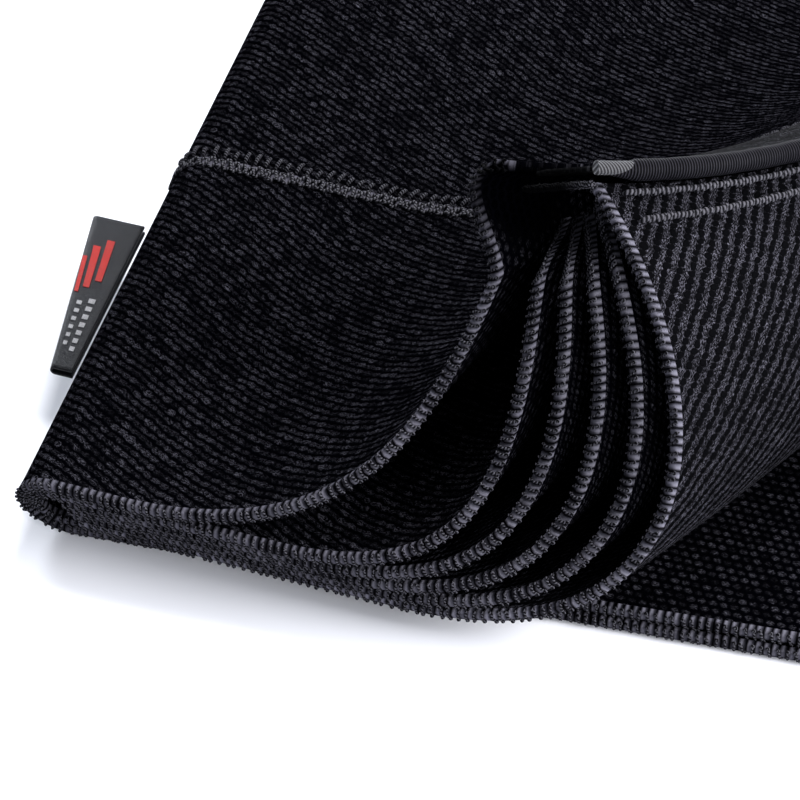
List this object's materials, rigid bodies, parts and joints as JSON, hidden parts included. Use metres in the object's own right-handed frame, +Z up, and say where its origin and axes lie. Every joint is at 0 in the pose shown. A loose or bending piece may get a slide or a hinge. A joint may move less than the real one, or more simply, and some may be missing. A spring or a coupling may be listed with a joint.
{
  "type": "padded elastic elbow sleeve",
  "caption": "Multi-ply knitted elastic elbow sleeve lying flat, with a lifted padded upper half, hemmed vent, satin welt and folded side label.",
  "frame": {"origin": "centre of the sleeve's footprint, on the surface that it lies on", "axes": "+X from the left fold towards the right fold, +Y along the arm from the front mouth to the rear mouth, +Z up"},
  "size_m": [0.1904, 0.1648, 0.0647],
  "materials": {
    "elastic_knit": "heavy ribbed elastic knit, near-black, matt with a faint grey thread sheen",
    "stitch_thread": "charcoal polyester sewing thread, slight sheen",
    "satin_thread": "dense black satin stitching, soft sheen",
    "core_cord": "spun filler cord, hidden",
    "label_satin": "woven black label satin with plain red and white blocks"
  },
  "bodies": {
    "sleeve": {"outer_ply_front": "elastic_knit", "inner_ply_front": "elastic_knit", "pad_ply_1_front": "elastic_knit", "pad_ply_2_front": "elastic_knit", "pad_ply_3_front": "elastic_knit", "pad_ply_4_front": "elastic_knit", "outer_ply_rear": "elastic_knit", "inner_ply_rear": "elastic_knit", "pad_ply_1_rear": "elastic_knit", "pad_ply_2_rear": "elastic_knit", "pad_ply_3_rear": "elastic_knit", "pad_ply_4_rear": "elastic_knit", "seam_welt_core": "core_cord", "seam_welt_cover": "satin_thread", "seam_binding_tape": "elastic_knit", "vent_hem_band": "elastic_knit", "hem_upper_lock_stitches": "stitch_thread", "hem_lower_lock_stitches": "stitch_thread", "top_join_zigzag_thread": "stitch_thread", "vent_bar_tack": "stitch_thread"},
    "label": {"woven_label": "label_satin"}
  },
  "joints": [
    {"name": "label_flap", "type": "hinge", "parent": "sleeve", "child": "label", "pos_m": [-0.08408, -0.0324, 0.008], "axis": [-0.0599, 0.9982, 0], "range_deg": [-25, 60]}
  ]
}
